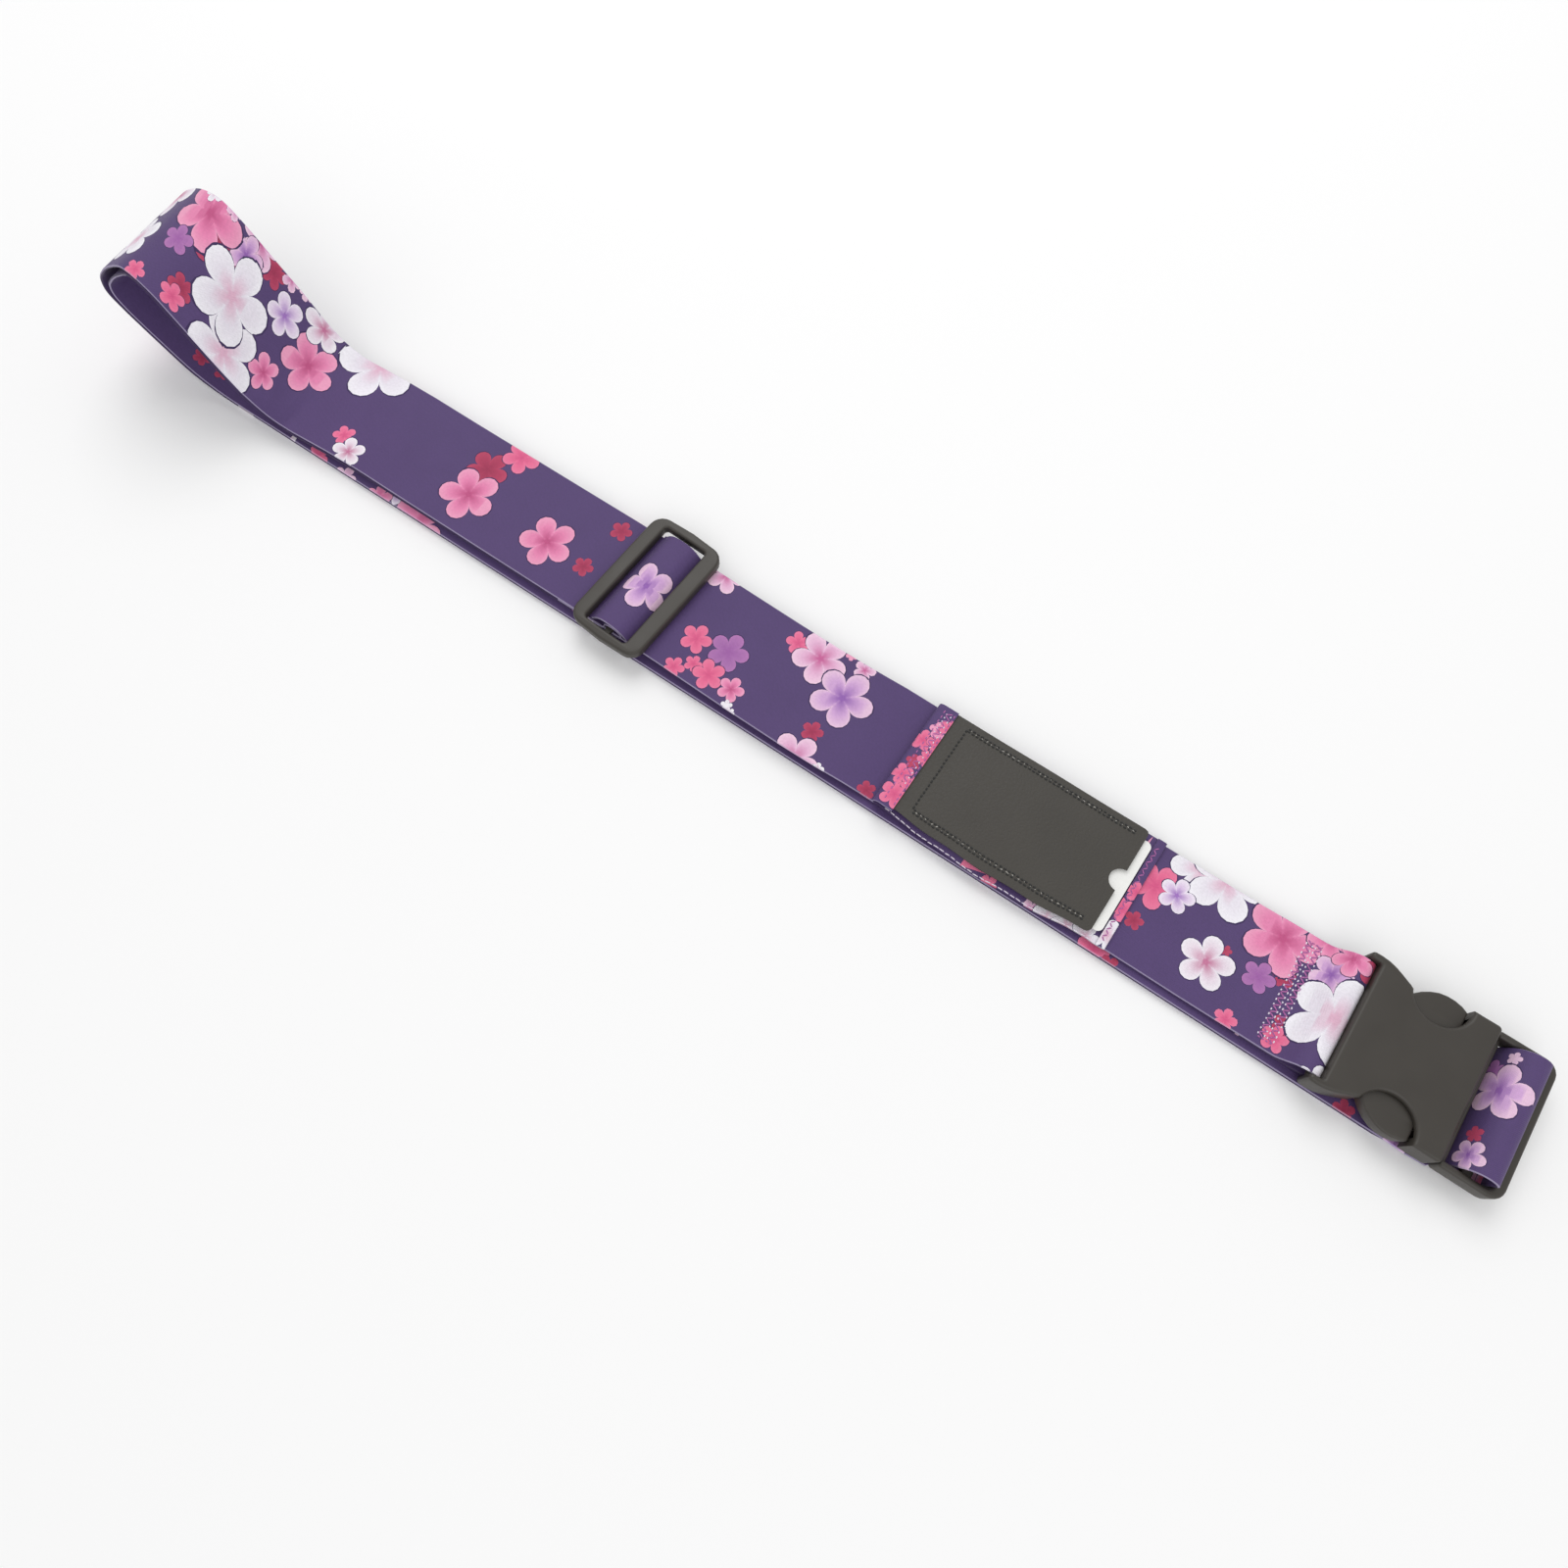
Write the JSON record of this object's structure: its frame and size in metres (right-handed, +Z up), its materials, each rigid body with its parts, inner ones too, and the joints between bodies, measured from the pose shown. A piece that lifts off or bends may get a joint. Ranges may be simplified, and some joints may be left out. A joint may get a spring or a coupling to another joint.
{
  "type": "luggage strap",
  "caption": "Adjustable printed luggage strap, folded flat, with a side-release buckle, a three-bar slider and an address tag pocket.",
  "frame": {"origin": "centre of the folded strap's box, on the surface it lies on", "axes": "+X along the strap towards the buckle, +Y across the webbing, +Z up"},
  "size_m": [0.6748, 0.064, 0.0701],
  "materials": {
    "webbing": "purple polyester webbing, flower print, slight sheen",
    "plastic": "moulded black acetal, satin",
    "panel": "black coated fabric with a fine leather grain",
    "card": "white card",
    "purple_thread": "purple polyester thread",
    "black_thread": "black polyester thread"
  },
  "bodies": {
    "strap": {"webbing_bottom_outer": "webbing", "webbing_bottom_inner": "webbing", "webbing_fold_outer": "webbing", "webbing_fold_inner": "webbing", "webbing_top": "webbing", "webbing_tail": "webbing", "webbing_middle": "webbing", "webbing_front": "webbing", "webbing_buckle_eye": "webbing", "female_buckle": "plastic", "tag_backing": "webbing", "tag_panel": "panel", "stitch_buckle_end": "purple_thread", "stitch_tag_left": "purple_thread", "stitch_tag_right": "purple_thread", "stitch_pocket": "black_thread"},
    "adjuster": {"slider": "plastic", "webbing_slider_hump": "webbing", "webbing_slider_wrap": "webbing", "stitch_slider_end": "purple_thread"},
    "plug": {"male_buckle": "plastic", "webbing_buckle_roll": "webbing"},
    "left_latch": {"left_prong": "plastic"},
    "right_latch": {"right_prong": "plastic"},
    "card": {"address_card": "card"}
  },
  "joints": [
    {"name": "adjuster_slide", "type": "slide", "parent": "strap", "child": "adjuster", "axis": [1, 0, 0], "range_m": [-0.105, 0.105], "deforming": ["webbing_top", "webbing_tail", "webbing_middle"]},
    {"name": "plug_release", "type": "slide", "parent": "strap", "child": "plug", "axis": [1, 0, 0], "range_m": [0, 0.045], "deforming": ["left_prong", "right_prong"]},
    {"name": "left_latch_squeeze", "type": "hinge", "parent": "plug", "child": "left_latch", "pos_m": [0.3126, 0.0182, 0.0096], "axis": [0, 0, 1], "range_deg": [0, 11], "stiffness_Nm_per_rad": 0.4},
    {"name": "right_latch_squeeze", "type": "hinge", "parent": "plug", "child": "right_latch", "pos_m": [0.3126, -0.0182, 0.0096], "axis": [0, 0, -1], "range_deg": [0, 11], "stiffness_Nm_per_rad": 0.4},
    {"name": "card_slide", "type": "slide", "parent": "strap", "child": "card", "axis": [1, 0, 0], "range_m": [0, 0.065]}
  ]
}
